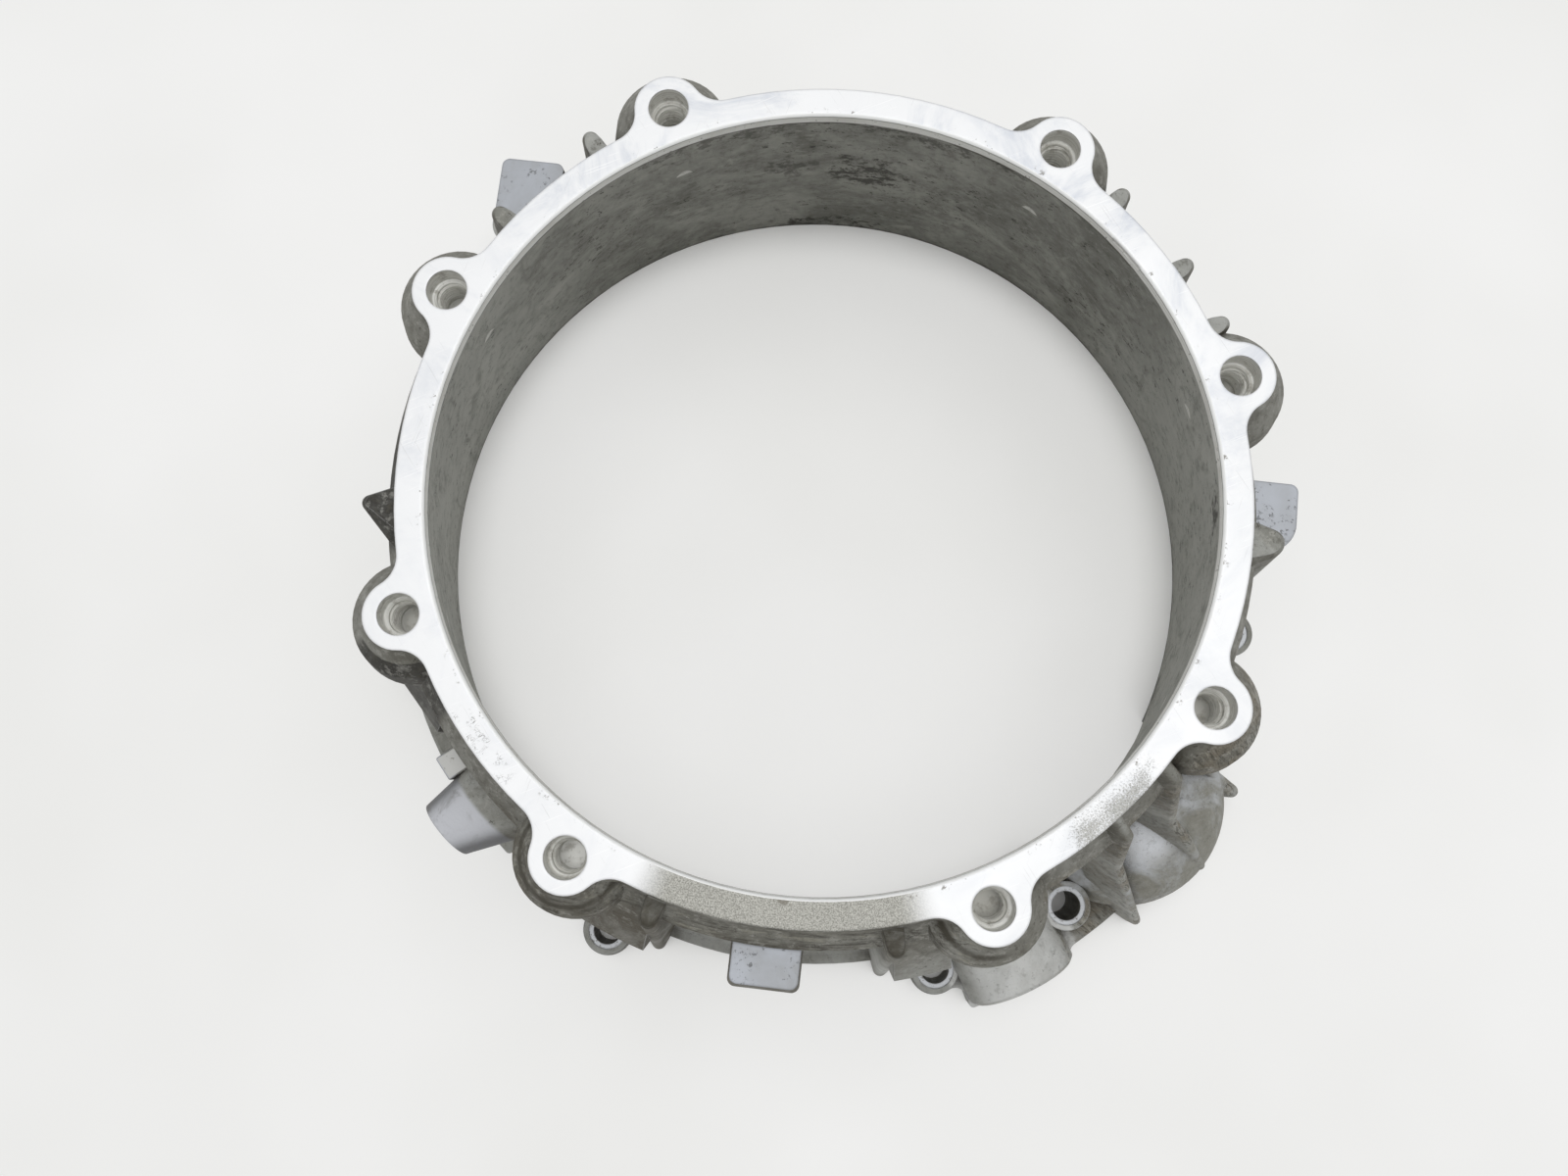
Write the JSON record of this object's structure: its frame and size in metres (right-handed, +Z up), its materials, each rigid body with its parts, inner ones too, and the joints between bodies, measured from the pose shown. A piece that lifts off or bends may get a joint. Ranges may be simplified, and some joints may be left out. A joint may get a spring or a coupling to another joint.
{
  "type": "transmission bell housing",
  "caption": "Cast aluminium transmission bell housing with an eared transmission flange, ribbed flared wall, engine flange with bolt bosses and a starter pocket.",
  "frame": {"origin": "on the bore axis, in the plane of the engine face on which the casting stands", "axes": "+Z up along the bore axis towards the transmission face, +Y along the symmetry axis of the transmission bolt holes, away from the starter pocket"},
  "size_m": [0.3957, 0.3852, 0.158],
  "materials": {
    "cast_aluminium": "as cast, with machined faces"
  },
  "bodies": {
    "root": {"bell_housing": "cast_aluminium"}
  },
  "joints": []
}
